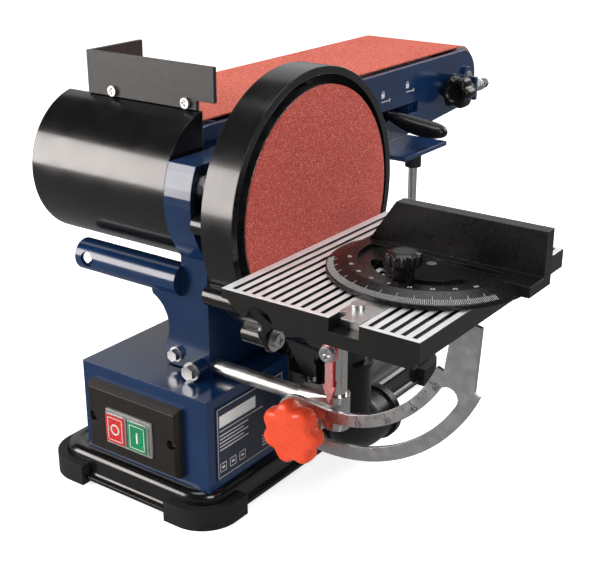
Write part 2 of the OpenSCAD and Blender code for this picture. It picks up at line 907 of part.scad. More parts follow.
module tilt_pin() {
    color(steel) on_shaft() difference() {
        union() {
            along_y(3.5, post_y - 14, post_y + 14, pivot_x, pivot_z);
            along_y(6, post_y - 17, post_y - 13, pivot_x, pivot_z);
            along_y(6, post_y + 13, post_y + 16, pivot_x, pivot_z, 6);
        }
        translate([pivot_x, post_y - 17, pivot_z]) cube([7, 2, 1.2], center = true);
    }
}

// an annular sector below the tilt pivot, angles from straight down towards +X
module sector(r0, r1, a0, a1) {
    steps = 24;
    polygon(concat(
        [for (i = [0 : steps]) let (a = a0 + (a1 - a0) * i / steps) [r1 * sin(a), -r1 * cos(a)]],
        [for (i = [steps : -1 : 0]) let (a = a0 + (a1 - a0) * i / steps) [r0 * sin(a), -r0 * cos(a)]]));
}

module tilt_quadrant() {
    color(steel) on_shaft() slab_y(quadrant_y, quadrant_y + quadrant_t) translate([pivot_x, pivot_z])
        difference() {
            union() {
                sector(80, 110, -14, 68);
                rotate(-14) translate([0, -95]) circle(r = 14.9);
                polygon([[78, -36], [98, -45], [100.5, 0], [93.5, 1.4], [93.5, 8], [80, 8], [81, -14]]);
            }
            sector(slot_r - slot_half, slot_r + slot_half, -12, 60);
            for (a = [-12, 60]) rotate(a) translate([0, -slot_r]) circle(r = slot_half - 0.08);
        }
}

module table_lock_bolt() {
    color(steel) on_shaft() {
        along_y(3.9, quadrant_y - 16, post_y + 12, lock_x, lock_z);
        along_y(6.2, quadrant_y, post_y - 8.4, lock_x, lock_z);
        along_y(7.2, post_y + 8, post_y + 12, lock_x, lock_z, 6);
    }
}

module table_lock_knob() {
    color([0.86, 0.24, 0.14]) on_shaft() translate([lock_x, 0, lock_z]) difference() {
        union() {
            slab_y(quadrant_y - 20, quadrant_y - 8) lobed(21, 8, 4);
            along_y(11, quadrant_y - 8, quadrant_y - 0.2);
            along_y(13, quadrant_y - 22, quadrant_y - 20);
        }
        along_y(3.95, quadrant_y - 17, quadrant_y);
        along_y(9, quadrant_y - 23, quadrant_y - 21);
    }
}

// ---- mitre gauge ---------------------------------------------------------------------------

module mitre_bar() {
    color(steel) on_shaft() {
        translate([mitre_slot_x - mitre_slot_w / 2 + 0.1, mitre_y - 81, table_top_z - mitre_slot_d + 0.1])
            cube([mitre_slot_w - 0.2, 159, mitre_slot_d - 0.3]);
        along_z(3, table_top_z - 1, mitre_z + 4, mitre_slot_x, mitre_y);
        along_z(3, table_top_z - 1, mitre_z + 15, mitre_slot_x, mitre_knob_y);
    }
}

module mitre_pointer() {
    color(steel) on_shaft() {
        translate([mitre_slot_x - 9, mitre_y - 81, table_top_z - 0.2]) cube([18, 27, 1]);
        translate([mitre_slot_x - 3, mitre_y - 89, table_top_z - 0.2]) cube([12, 9, 1]);
        along_z(4.2, table_top_z + 0.8, table_top_z + 3.4, mitre_slot_x - 3, mitre_y - 72);
    }
}

module mitre_head() {
    color(black) on_shaft() translate([mitre_slot_x, mitre_y, mitre_z]) {
        difference() {
            union() {
                intersection() {
                    rotate_extrude() polygon([[0, 0], [mitre_r, 0], [mitre_r, 2.4],
                        [mitre_r - 11, 6.5], [0, 6.5]]);
                    translate([-mitre_r - 1, -mitre_r - 1, 0]) cube([2 * mitre_r + 2, mitre_r + 12, 10]);
                }
                translate([40, -8, 0]) cube([25, 20, 6.5]);
            }
            intersection() {
                along_z(mitre_r - 18, 4, 8);
                translate([-60, -60, 4]) cube([120, 64, 6]);
            }
            translate([0, 0, -1]) linear_extrude(height = 8) {
                sector(mitre_slot - 3.4, mitre_slot + 3.4, -61, 61);
                for (a = [-61, 61]) rotate(a) translate([0, -mitre_slot]) circle(r = 3.4);
            }
            along_z(3.05, -1, 10);
        }
        slab_y(10, 19) polygon([[-53, 0], [65, 0], [65, 33], [-31, 33]]);
    }
}

module mitre_knob() {
    color(black) on_shaft() translate([mitre_slot_x, mitre_knob_y, mitre_z]) difference() {
        union() {
            along_z(6, 4.2, 13);
            translate([0, 0, 13]) linear_extrude(height = 7) lobed(10.4, 12, 1);
            along_z(8, 20, 21);
        }
        along_z(3.05, 3, 15.5);
    }
}

// ---- draw ----------------------------------------------------------------------------------

base_pan();
rubber_feet();
body_box();
rating_plate();
switch_plate();
switch_frame();
switch_screws();
stop_button();
start_button();
main_casting();
belt_case();
case_bolts();
column_bolts();
motor_housing();
motor_stator();
motor_rotor();
motor_pulley();
motor_fan();
motor_bearings();
toothed_belt();
drive_shaft();
driven_pulley();
shaft_bearings();
drive_drum();
disc_plate();
disc_screw();
abrasive_disc();
disc_guard();
guard_bolts();
dust_port();
arm_frame();
platen();
sanding_belt();
drum_cover();
work_stop();
stop_screws();
arm_bearing();
idler_axle();
idler_roller();
end_cheeks();
tension_spring();
tension_lever();
tracking_knob();
rest_post();
rest_bush();
support_rod();
rod_clamp();
table_post();
tilt_pointer();
work_table();
tilt_pin();
tilt_quadrant();
table_lock_bolt();
table_lock_knob();
mitre_bar();
mitre_pointer();
mitre_head();
mitre_knob();
power_cable();
cable_gland();
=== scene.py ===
"""Looks for the belt and disc bench sander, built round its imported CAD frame. Units are metres."""
import json
import math

import bmesh
import bpy
from mathutils import Matrix, Vector


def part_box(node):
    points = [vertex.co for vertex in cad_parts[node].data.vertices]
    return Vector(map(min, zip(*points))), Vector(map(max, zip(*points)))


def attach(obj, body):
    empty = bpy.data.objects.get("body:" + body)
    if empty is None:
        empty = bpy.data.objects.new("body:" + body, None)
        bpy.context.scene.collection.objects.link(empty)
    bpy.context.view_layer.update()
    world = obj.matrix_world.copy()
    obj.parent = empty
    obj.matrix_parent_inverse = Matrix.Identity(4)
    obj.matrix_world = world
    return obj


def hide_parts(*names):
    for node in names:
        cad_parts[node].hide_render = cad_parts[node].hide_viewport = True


MM = 0.001

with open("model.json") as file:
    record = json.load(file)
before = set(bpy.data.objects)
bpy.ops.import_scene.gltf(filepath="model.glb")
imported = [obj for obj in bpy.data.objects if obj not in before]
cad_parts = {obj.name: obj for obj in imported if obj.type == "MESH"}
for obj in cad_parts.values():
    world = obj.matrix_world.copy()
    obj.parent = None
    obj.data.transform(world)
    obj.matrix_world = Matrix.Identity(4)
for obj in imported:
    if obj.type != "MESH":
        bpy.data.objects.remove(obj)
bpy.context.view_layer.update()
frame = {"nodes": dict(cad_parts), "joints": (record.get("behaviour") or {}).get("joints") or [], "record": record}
NODES = frame["nodes"]
JOINTS = {joint["name"]: joint for joint in frame["joints"]}


# ---- shader helpers ------------------------------------------------------------------------

class Shader:
    """One procedural material and short calls that add nodes to it."""

    def __init__(self, name):
        self.material = bpy.data.materials.new(name)
        self.material.use_nodes = True
        self.tree = self.material.node_tree
        self.tree.nodes.clear()
        self.output = self.tree.nodes.new("ShaderNodeOutputMaterial")
        self.bsdf = self.tree.nodes.new("ShaderNodeBsdfPrincipled")
        self.link(self.bsdf.outputs[0], self.output.inputs[0])
        self.place = self.tree.nodes.new("ShaderNodeTexCoord").outputs["Object"]

    def link(self, source, target):
        self.tree.links.new(source, target)

    def put(self, socket, value):
        """Sets an input to a number, a colour or another node's output."""
        if isinstance(value, bpy.types.NodeSocket):
            self.link(value, socket)
        elif isinstance(value, (tuple, list)) and len(value) == 3 and len(socket.default_value) == 4:
            socket.default_value = (*value, 1.0)
        else:
            socket.default_value = value

    def set(self, **values):
        for key, value in values.items():
            self.put(self.bsdf.inputs[key.replace("_", " ")], value)

    def stretched(self, x, y, z):
        """Object coordinates scaled along each axis."""
        node = self.tree.nodes.new("ShaderNodeMapping")
        self.link(self.place, node.inputs["Vector"])
        node.inputs["Scale"].default_value = (x, y, z)
        return node.outputs[0]

    def noise(self, size, detail=3.0, roughness=0.5, where=None):
        """Noise whose blobs are about size metres across."""
        node = self.tree.nodes.new("ShaderNodeTexNoise")
        self.link(where or self.place, node.inputs["Vector"])
        node.inputs["Scale"].default_value = 1.0 / size
        node.inputs["Detail"].default_value = detail
        node.inputs["Roughness"].default_value = roughness
        return node.outputs[0]

    def cells(self, size, output="Distance"):
        """Packed cells about size metres across: the distance to their middles, or a colour for each."""
        node = self.tree.nodes.new("ShaderNodeTexVoronoi")
        self.link(self.place, node.inputs["Vector"])
        node.inputs["Scale"].default_value = 1.0 / size
        return node.outputs[output]

    def ramp(self, source, low, high, out_low=0.0, out_high=1.0):
        """Maps low..high of the source to out_low..out_high, held at the ends."""
        node = self.tree.nodes.new("ShaderNodeMapRange")
        self.put(node.inputs["Value"], source)
        limits = {"From Min": low, "From Max": high, "To Min": out_low, "To Max": out_high}
        for key, value in limits.items():
            self.put(node.inputs[key], value)
        return node.outputs[0]

    def mix(self, factor, first, second):
        """Blends two colours: the first at factor 0, the second at factor 1."""
        node = self.tree.nodes.new("ShaderNodeMix")
        node.data_type = "RGBA"
        self.put(node.inputs[0], factor)
        self.put(node.inputs[6], first)
        self.put(node.inputs[7], second)
        return node.outputs[2]

    def math(self, operation, first, second=0.0):
        node = self.tree.nodes.new("ShaderNodeMath")
        node.operation = operation
        self.put(node.inputs[0], first)
        self.put(node.inputs[1], second)
        return node.outputs[0]

    def rounded(self, radius):
        """A normal that rounds sharp edges by radius."""
        node = self.tree.nodes.new("ShaderNodeBevel")
        node.samples = 4
        node.inputs["Radius"].default_value = radius
        return node.outputs[0]

    def edge(self, radius):
        """1 on sharp edges and 0 on flat faces."""
        slight, full = 0.02, 0.3
        geometry = self.tree.nodes.new("ShaderNodeNewGeometry")
        dot = self.tree.nodes.new("ShaderNodeVectorMath")
        dot.operation = "DOT_PRODUCT"
        self.link(geometry.outputs["Normal"], dot.inputs[0])
        self.link(self.rounded(radius), dot.inputs[1])
        return self.ramp(self.math("SUBTRACT", 1.0, dot.outputs["Value"]), slight, full)

    def clouds(self, size, low, high, detail=4):
        """Soft noise about size metres across whose value runs from low to high."""
        return self.ramp(self.noise(size, detail), 0.3, 0.7, low, high)

    def split(self, source):
        """The x, y and z of a vector, or the parts of a colour."""
        node = self.tree.nodes.new("ShaderNodeSeparateXYZ")
        self.link(source, node.inputs[0])
        return node.outputs

    def bump(self, height, distance, radius=0.5 * MM):
        """Relief of distance metres on top of edges that are rounded by radius."""
        node = self.tree.nodes.new("ShaderNodeBump")
        self.link(height, node.inputs["Height"])
        node.inputs["Distance"].default_value = distance
        node.inputs["Strength"].default_value = 1.0
        if radius:
            self.link(self.rounded(radius), node.inputs["Normal"])
        self.link(node.outputs[0], self.bsdf.inputs["Normal"])


# ---- materials -----------------------------------------------------------------------------

def scaled(colour, factor, lift=0.0):
    """A colour times a factor plus a lift, held below white."""
    return [min(1.0, channel * factor + lift) for channel in colour]


def enamel(name, colour, worn, peel, roughness):
    """Glossy enamel with orange peel, fine dust and slightly worn edges."""
    dust_colour = (0.4, 0.4, 0.4)
    s = Shader(name)
    tone = s.mix(s.ramp(s.noise(60 * MM, 4), 0.35, 0.65), scaled(colour, 0.88), scaled(colour, 1.1))
    dust = s.ramp(s.noise(0.5 * MM, 2), 0.68, 0.8, 0.0, 0.10)
    tone = s.mix(dust, tone, dust_colour)
    patches = s.ramp(s.noise(6 * MM, 5), 0.45, 0.7, 0.0, 0.35)
    edge = s.math("MULTIPLY", s.edge(0.5 * MM), patches)
    s.set(Base_Color=s.mix(edge, tone, worn), Roughness=s.clouds(18 * MM, roughness, roughness + 0.1, 5))
    s.set(Specular_IOR_Level=0.4, Coat_Weight=0.3, Coat_Roughness=0.10)
    s.bump(s.noise(2.2 * MM, 2), peel, radius=0.9 * MM)
    return s.material


def navy_paint():
    return enamel("navy_paint", (0.0045, 0.024, 0.080), (0.05, 0.10, 0.18), 0.012 * MM, 0.16)


def black_paint():
    return enamel("black_paint", (0.006, 0.006, 0.0065), (0.05, 0.05, 0.05), 0.010 * MM, 0.17)


def label():
    """Dark blue label film with a satin face."""
    s = Shader("label")
    s.set(Base_Color=s.mix(s.clouds(8 * MM, 0, 1), (0.012, 0.018, 0.04), (0.018, 0.026, 0.055)))
    s.set(Roughness=s.clouds(3 * MM, 0.3, 0.42))
    s.bump(s.noise(0.4 * MM, 2), 0.01 * MM)
    return s.material


def wrinkle_black():
    """Wrinkle coat: small folded blisters over black, with painted shade in the fold hollows and lighter crests.
    """
    s = Shader("wrinkle_black")
    folds = s.math("ADD", s.noise(0.5 * MM, 2, 0.5), s.cells(0.55 * MM))
    # Colour follows the fold height used for the bump: painted shade in the hollows, painted highlight on the
    # crests.
    s.set(Base_Color=s.mix(s.ramp(folds, 0.5, 1.2), (0.008, 0.008, 0.008), (0.03, 0.03, 0.03)))
    s.set(Roughness=s.clouds(5 * MM, 0.34, 0.48, 3))
    s.bump(folds, 0.10 * MM)
    return s.material


def moulded(name, colour, roughness, grain, depth_glow=0.0):
    """Moulded plastic with a fine spark texture; depth_glow is the share of light that enters it."""
    s = Shader(name)
    tone = s.mix(s.clouds(14 * MM, 0, 1), scaled(colour, 0.9), scaled(colour, 1.12, 0.002))
    edge = s.math("MULTIPLY", s.edge(0.5 * MM), 0.25)
    s.set(Base_Color=s.mix(edge, tone, scaled(colour, 1.5, 0.03)), Specular_IOR_Level=0.3)
    s.set(Roughness=s.clouds(2 * MM, roughness - 0.06, roughness + 0.06))
    if depth_glow:
        s.set(Subsurface_Weight=depth_glow, Subsurface_Radius=(1.2 * MM, 0.5 * MM, 0.4 * MM))
    s.bump(s.noise(0.35 * MM, 2), grain, radius=0.7 * MM)
    return s.material


def black_plastic():
    return moulded("black_plastic", (0.0045, 0.0042, 0.004), 0.30, 0.03 * MM)


def switch_plastic():
    return moulded("switch_plastic", (0.014, 0.0115, 0.0105), 0.34, 0.05 * MM)


def clear_frame():
    """Cloudy clear plastic."""
    s = Shader("clear_frame")
    s.set(Base_Color=s.mix(s.clouds(9 * MM, 0, 1, 3), (0.42, 0.45, 0.43), (0.55, 0.57, 0.55)))
    s.set(Roughness=s.clouds(3 * MM, 0.1, 0.2, 3), Transmission_Weight=0.45, Coat_Weight=0.5)
    s.bump(s.noise(0.8 * MM, 2), 0.02 * MM, radius=0.8 * MM)
    return s.material


def red_plastic():
    return moulded("red_plastic", (0.50, 0.025, 0.022), 0.26, 0.01 * MM, 0.05)


def green_plastic():
    return moulded("green_plastic", (0.008, 0.20, 0.085), 0.26, 0.01 * MM, 0.05)


def knob_red():
    return moulded("knob_red", (0.72, 0.070, 0.024), 0.30, 0.02 * MM, 0.08)


def pointer_red():
    """Red sheet pointer; its pan head screw in front is zinc."""
    s = Shader("pointer_red")
    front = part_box("tilt_pointer")[0].y
    screw_height = 3.5 * MM
    fade = 0.1 * MM
    screw = s.ramp(s.split(s.place)[1], front + screw_height + fade, front + screw_height - fade)
    paint = s.mix(s.clouds(5 * MM, 0, 1), (0.60, 0.012, 0.012), (0.72, 0.022, 0.018))
    s.set(Base_Color=s.mix(screw, paint, (0.64, 0.64, 0.65)), Metallic=screw)
    s.set(Roughness=s.clouds(3 * MM, 0.22, 0.34))
    s.bump(s.noise(1 * MM, 2), 0.01 * MM, radius=0.4 * MM)
    return s.material


def rubber():
    return moulded("rubber", (0.010, 0.010, 0.010), 0.58, 0.10 * MM)


def metal(name, colour, roughness, lines=(1, 1, 1), depth=0.004 * MM, spots=0.0):
    """Bare metal; lines stretches the fine scratches, spots adds a mottled plating."""
    s = Shader(name)
    scratch = s.noise(0.5 * MM, 4, 0.7, s.stretched(*lines))
    tone = s.mix(s.ramp(scratch, 0.3, 0.7), scaled(colour, 0.86), scaled(colour, 1.06))
    if spots:
        flakes = s.ramp(s.cells(3.2 * MM, "Color"), 0.2, 0.9, 0.0, spots)
        tone = s.mix(flakes, tone, scaled(colour, 0.72))
    s.set(Base_Color=tone, Metallic=1.0, Roughness=s.clouds(7 * MM, roughness * 0.8, roughness * 1.25, 5))
    s.bump(scratch, depth, radius=0.4 * MM)
    return s.material


def steel():
    return metal("steel", (0.66, 0.65, 0.63), 0.38, (1, 0.25, 0.25))


def zinc():
    return metal("zinc", (0.66, 0.66, 0.66), 0.34, (1, 1, 1), 0.006 * MM, 0.4)


def chrome():
    return metal("chrome", (0.74, 0.73, 0.71), 0.24, (1, 1, 0.2), 0.001 * MM)


def disc_alu():
    return metal("disc_alu", (0.55, 0.56, 0.57), 0.33, (0.2, 1, 1), 0.01 * MM)


def copper():
    return metal("copper", (0.50, 0.23, 0.10), 0.35, (1, 0.1, 1), 0.03 * MM)


def aluminium():
    """The table: black painted casting whose rib tops are machined bright along Y."""
    s = Shader("aluminium")
    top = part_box("work_table")[1].z
    height = s.split(s.place)[2]
    bright = s.ramp(height, top - 0.25 * MM, top - 0.12 * MM)
    cut = s.noise(0.35 * MM, 4, 0.7, s.stretched(1, 0.03, 1))
    metal_tone = s.mix(s.ramp(cut, 0.3, 0.7), (0.78, 0.79, 0.80), (0.94, 0.94, 0.95))
    paint = s.mix(s.clouds(12 * MM, 0, 1), (0.0045, 0.0042, 0.004), (0.008, 0.0078, 0.0075))
    s.set(Base_Color=s.mix(bright, paint, metal_tone), Metallic=s.math("MULTIPLY", bright, 0.55))
    s.set(Roughness=s.mix(bright, (0.30, 0.30, 0.30), s.clouds(9 * MM, 0.36, 0.5)))
    s.bump(cut, 0.01 * MM, radius=0.35 * MM)
    return s.material


def grit(name, gap_shade, face, spark):
    """Abrasive grain in resin: packed cells, gaps darkened by painted shade and a few bright facets painted as
    glints.
    """
    s = Shader(name)
    grain = s.cells(0.75 * MM)
    fine = s.noise(1.3 * MM, 4, 0.8)
    # The gaps between grains, where the relief is lowest, take the darker colour: painted shade.
    tone = s.mix(s.ramp(s.math("ADD", grain, fine), 0.55, 1.25), face, gap_shade)
    tone = s.mix(s.ramp(s.noise(45 * MM, 3), 0.35, 0.7, 0.0, 0.35), tone, scaled(face, 0.82))
    # Painted glints: a few cells take the spark colour as a painted highlight, and are a little glossier too.
    painted_glint = s.ramp(s.split(s.cells(0.55 * MM, "Color"))[0], 0.78, 0.93, 0.0, 0.5)
    s.set(Base_Color=s.mix(painted_glint, tone, spark))
    s.set(Roughness=s.ramp(painted_glint, 0.0, 0.75, 0.85, 0.35))
    s.bump(s.math("SUBTRACT", fine, grain), 0.35 * MM, radius=0)
    return s.material


def abrasive():
    # Colours: painted shade for the gaps, the grain face, and the painted glint.
    return grit("abrasive", (0.36, 0.034, 0.024), (0.74, 0.110, 0.080), (0.98, 0.50, 0.42))


def belt_grit():
    # Colours: painted shade for the gaps, the grain face, and the painted glint.
    return grit("belt_grit", (0.44, 0.055, 0.034), (0.80, 0.160, 0.100), (0.98, 0.52, 0.42))


def ink(name, low, high, roughness):
    """A thin layer of printing ink."""
    s = Shader(name)
    s.set(Base_Color=s.mix(s.clouds(1 * MM, 0, 1, 3), low, high), Roughness=roughness)
    s.bump(s.noise(0.3 * MM, 2), 0.005 * MM)
    return s.material


def white_print():
    return ink("white_print", (0.62, 0.63, 0.64), (0.78, 0.79, 0.80), 0.45)


def dark_print():
    return ink("dark_print", (0.02, 0.02, 0.02), (0.05, 0.05, 0.05), 0.6)


MAKERS = (navy_paint, black_paint, wrinkle_black, black_plastic, switch_plastic, clear_frame, red_plastic,
          green_plastic, knob_red, pointer_red, rubber, steel, zinc, chrome, aluminium, disc_alu, copper,
          abrasive, belt_grit, label, white_print, dark_print)
LOOKS = {maker.__name__: maker() for maker in MAKERS}


def dress_cad_nodes():
    """Gives every CAD node the material of its slot."""
    for part in frame["record"]["subparts"]:
        node = NODES[part["node"]]
        node.data.materials.clear()
        node.data.materials.append(LOOKS[part["material_slot"]])


# ---- mesh helpers --------------------------------------------------------------------------

def piece(name, mesh_data, body, slot, look=None):
    """Makes an object of the mesh, with a material, that rides on a CAD body."""
    obj = bpy.data.objects.new(name, mesh_data)
    bpy.context.scene.collection.objects.link(obj)
    obj.data.materials.append(LOOKS[look or slot])
    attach(obj, body)
    return obj


def mesh_of(bm, name, smooth_angle=math.radians(35)):
    """Turns a bmesh into mesh data whose faces are smooth up to an angle."""
    mesh_data = bpy.data.meshes.new(name)
    bmesh.ops.recalc_face_normals(bm, faces=bm.faces)
    for face in bm.faces:
        face.smooth = True
    for edge in bm.edges:
        if len(edge.link_faces) == 2 and edge.calc_face_angle() > smooth_angle:
            edge.smooth = False
    bm.to_mesh(mesh_data)
    bm.free()
    return mesh_data


def skin(bm, rings, closed_path=False, closed_ring=True, cap=True):
    """Joins rings of points with faces."""
    rows = [[bm.verts.new(point) for point in ring] for ring in rings]
    following = rows[1:] + rows[:1] if closed_path else rows[1:]
    count = len(rows[0])
    for first, second in zip(rows, following):
        for i in range(count if closed_ring else count - 1):
            j = (i + 1) % count
            bm.faces.new((first[i], first[j], second[j], second[i]))
    if cap and not closed_path:
        bm.faces.new(rows[0])
        bm.faces.new(rows[-1])


def swept_tube(name, path, radius, sides=14, closed=False):
    """A round tube along a list of points."""
    bm = bmesh.new()
    rings = []
    count = len(path)
    normal = None
    for i, point in enumerate(path):
        ahead = path[(i + 1) % count] if closed or i < count - 1 else point
        behind = path[i - 1] if closed or i > 0 else point
        tangent = (ahead - behind).normalized()
        if normal is None:
            normal = tangent.orthogonal().normalized()
        normal = (normal - tangent * normal.dot(tangent)).normalized()
        side = tangent.cross(normal)
        turns = [2 * math.pi * k / sides for k in range(sides)]
        rings.append([point + radius * (math.cos(t) * normal + math.sin(t) * side) for t in turns])
    skin(bm, rings, closed_path=closed)
    return mesh_of(bm, name, math.radians(60))


def on_circle(centre, radius, right, up, turn):
    """The point at an angle of turn degrees from right towards up."""
    angle = math.radians(turn)
    return centre + right * radius * math.cos(angle) + up * radius * math.sin(angle)


def soften(obj):
    """One step of surface smoothing."""
    smooth = obj.modifiers.new("smooth", "SUBSURF")
    smooth.levels = smooth.render_levels = 1


X = Vector((1, 0, 0))
Y = Vector((0, 1, 0))
Z = Vector((0, 0, 1))


# ---- parts whose shape is finished here ----------------------------------------------------

def coil_spring():
    """A helical spring and its hexagonal end nut in place of the CAD's ring stack."""
    low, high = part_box("tension_spring")
    centre = (low + high) / 2
    radius, wire, nut_space = 4.3 * MM, 0.9 * MM, 8.6 * MM
    start, end = low.y + wire, high.y - nut_space
    turns, steps = 5, 26
    path = []
    for i in range(turns * steps + 1):
        along = start + (end - start) * i / (turns * steps)
        path.append(on_circle(Vector((centre.x, along, centre.z)), radius, X, Z, 360 * i / steps))
    coil = piece("tension_coil", swept_tube("tension_coil", path, wire, 10), "belt_arm", "zinc")
    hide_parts("tension_spring")
    bm = bmesh.new()
    rings = []
    for back, corner in ((-8.0, 4.0), (-7.6, 4.5), (-0.6, 4.5), (0, 3.9)):
        level = Vector((centre.x, high.y + back * MM, centre.z))
        rings.append([on_circle(level, corner * MM, X, Z, 60 * k) for k in range(6)])
    skin(bm, rings)
    piece("tension_nut", mesh_of(bm, "tension_nut"), "belt_arm", "black_plastic")


def lobed_knob(name, node, axis, slot, lobes, depth, profile):
    """A knob lathed along axis from (height, radius, lobe) in mm, with lobes round its rim.

    Height runs from the node's low face. depth is the share of the radius that a valley takes away.
    """
    low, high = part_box(node)
    centre = (low + high) / 2
    u, v, w = {"y": (X, Z, Y), "z": (X, Y, Z)}[axis]
    base = centre - w * centre.dot(w) + w * low.dot(w)
    sides, valley_width = lobes * 12, 1.6
    bm = bmesh.new()
    rings = []
    for height, radius, lobe in profile:
        ring = []
        for k in range(sides):
            turn = 360 * k / sides
            wave = 0.5 - 0.5 * math.cos(math.radians(lobes * turn))
            r = radius * MM * (1 - depth * lobe * wave ** valley_width)
            ring.append(on_circle(base + w * height * MM, r, u, v, turn))
        rings.append(ring)
    skin(bm, rings)
    obj = piece(name, mesh_of(bm, name), node, slot)
    soften(obj)
    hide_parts(node)


def table_knob():
    """Lobed lock knob with a flat face; its profile runs from the face backwards."""
    face = [(0, 0.5, 0), (0, 10, 0), (0.2, 15.0, 0.6), (0.7, 18.2, 1), (2.0, 20.2, 1), (4.2, 21, 1)]
    rim = [(8, 21, 1), (11.4, 20.8, 1), (13.2, 19.4, 1), (13.9, 15, 0.4)]
    hub = [(14.2, 11, 0), (21.6, 10.4, 0), (21.7, 4.2, 0)]
    lobed_knob("star_knob", "table_lock_knob", "y", "knob_red", 7, 0.17, face + rim + hub)


def mitre_lock_knob():
    """Small knurled knob on a hub; its profile runs upwards."""
    hub = [(0, 3.2, 0), (0, 5.7, 0), (0.4, 6, 0), (8.0, 6, 0)]
    rim = [(8.5, 8, 0.4), (8.8, 10, 1), (9.4, 10.4, 1), (14.6, 10.4, 1), (15.4, 9.9, 0.8)]
    cap = [(15.8, 8.6, 0.1), (16.2, 7.6, 0), (16.7, 6.8, 0), (16.8, 3, 0), (16.8, 0.4, 0)]
    lobed_knob("mitre_grip", "mitre_knob", "z", "black_plastic", 12, 0.13, hub + rim + cap)


def tracking_grip():
    """Lobed tracking knob with a dished face, a collar and its screw; the profile runs backwards."""
    dish = [(3, 0.4, 0), (3, 5, 0), (2, 6.6, 0), (0.4, 7.6, 0)]
    rim = [(0, 9, 0), (0.5, 11, 0.3), (1.6, 13.2, 0.9), (3, 14.3, 1), (10, 14.5, 1), (15.6, 14.1, 1),
           (17.6, 12.6, 0.9), (19, 9.4, 0.2)]
    collar = [(19.4, 8, 0), (28.8, 7.8, 0), (28.9, 3, 0)]
    screw = [(51, 3, 0), (51, 0.4, 0)]
    lobed_knob("tracking_grip", "tracking_knob", "y", "black_plastic", 6, 0.20, dish + rim + collar + screw)


def scale_marks(name, angles, circle, tick, placing):
    """Thin raised ticks on a circle.

    circle is (centre, axis, radius, slope, direction), where direction(angle) points outwards and slope
    tips the face away from the axis. tick is (long, short, width, degrees between long ticks). placing is
    (body, look, slot).
    """
    centre, axis, radius, slope, direction = circle
    long_tick, short_tick, width, long_every = tick
    body, look, slot = placing
    thickness = 0.12 * MM
    bm = bmesh.new()
    for angle in angles:
        flat = direction(angle)
        out = flat * math.cos(slope) - axis * math.sin(slope)
        lift_axis = flat * math.sin(slope) + axis * math.cos(slope)
        along = axis.cross(flat)
        inner = radius - (long_tick if angle % long_every == 0 else short_tick)
        half = width / 2
        corners = [(radius, -half), (radius, half), (inner, half), (inner, -half)]
        rings = []
        for lift in (0.0, thickness):
            rings.append([centre + out * r + along * w + lift_axis * lift for r, w in corners])
        skin(bm, rings)
    piece(name, mesh_of(bm, name), body, slot, look)


def number(name, text, size, place, right, up, placing):
    """A thin raised number lying in the plane of right and up; placing is (body, look, slot)."""
    body, look, slot = placing
    curve = bpy.data.curves.new(name, "FONT")
    curve.body = text
    curve.size = size
    curve.extrude = 0.06 * MM
    curve.align_x = "CENTER"
    curve.align_y = "CENTER"
    holder = bpy.data.objects.new(name + "_curve", curve)
    bpy.context.scene.collection.objects.link(holder)
    bpy.context.view_layer.update()
    evaluated = holder.evaluated_get(bpy.context.evaluated_depsgraph_get())
    mesh_data = bpy.data.meshes.new_from_object(evaluated)
    bpy.data.objects.remove(holder)
    normal = right.cross(up)
    turn = Matrix((right, up, normal)).transposed().to_4x4()
    mesh_data.transform(Matrix.Translation(place) @ turn)
    mesh_data.materials.clear()
    mesh_data.name = name
    piece(name, mesh_data, body, slot, look)


def quadrant_scale():
    """Tilt angles marked on the quadrant's front face."""
    tick_radius, number_radius, number_size, rise = 83.2 * MM, 85.6 * MM, 5.2 * MM, 0.06 * MM
    pivot = Vector(JOINTS["table_tilt"]["pos_m"])
    centre = Vector((pivot.x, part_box("tilt_quadrant")[0].y, pivot.z))
    placing = ("work_table", "dark_print", "zinc")

    def direction(turn):
        return on_circle(Vector(), 1.0, -Z, X, turn)

    scale_marks("quadrant_ticks", range(0, 61, 5), (centre, -Y, tick_radius, 0.0, direction),
                (2.6 * MM, 1.5 * MM, 0.45 * MM, 15), placing)
    for turn in range(0, 61, 15):
        out = direction(turn)
        along = on_circle(Vector(), 1.0, X, Z, turn)
        place = centre + out * number_radius - Y * rise
        number(f"quadrant_{turn}", str(turn), number_size, place, along, -out, placing)


def protractor_scale():
    """Degree ticks on the sloping rim of the mitre head and numbers on the flat inside it."""
    rim, flat_edge, rim_top, flat_top = 61 * MM, 50 * MM, 2.4 * MM, 6.5 * MM
    tick_radius, number_radius, number_size = 60.2 * MM, 47.2 * MM, 3.2 * MM
    pivot = Vector(JOINTS["mitre_swivel"]["pos_m"])
    slope = math.atan2(flat_top - rim_top, rim - flat_edge)
    apex = pivot + Z * (rim_top + rim * math.tan(slope))
    placing = ("mitre_head", "white_print", "black_plastic")

    def direction(turn):
        return on_circle(Vector(), 1.0, -Y, X, turn)

    scale_marks("mitre_ticks", range(-66, 67), (apex, Z, tick_radius / math.cos(slope), slope, direction),
                (6.4 * MM, 4.0 * MM, 0.20 * MM, 10), placing)
    for turn in range(-60, 61, 15):
        out = direction(turn)
        along = on_circle(Vector(), 1.0, X, Y, turn)
        place = pivot + Z * flat_top + out * number_radius
        number(f"mitre_{turn + 60}", str(abs(turn)), number_size, place, along, -out, placing)


def rounded_ring(width, length, radius, z, arc=8):
    """Points of a rounded rectangle round the origin at height z."""
    ring = []
    for side_x, side_y, quarter in ((1, 1, 0), (-1, 1, 1), (-1, -1, 2), (1, -1, 3)):
        corner = Vector((side_x * (width / 2 - radius), side_y * (length / 2 - radius), z))
        for k in range(arc + 1):
            ring.append(on_circle(corner, radius, X, Y, 90 * (quarter + k / arc)))
    return ring


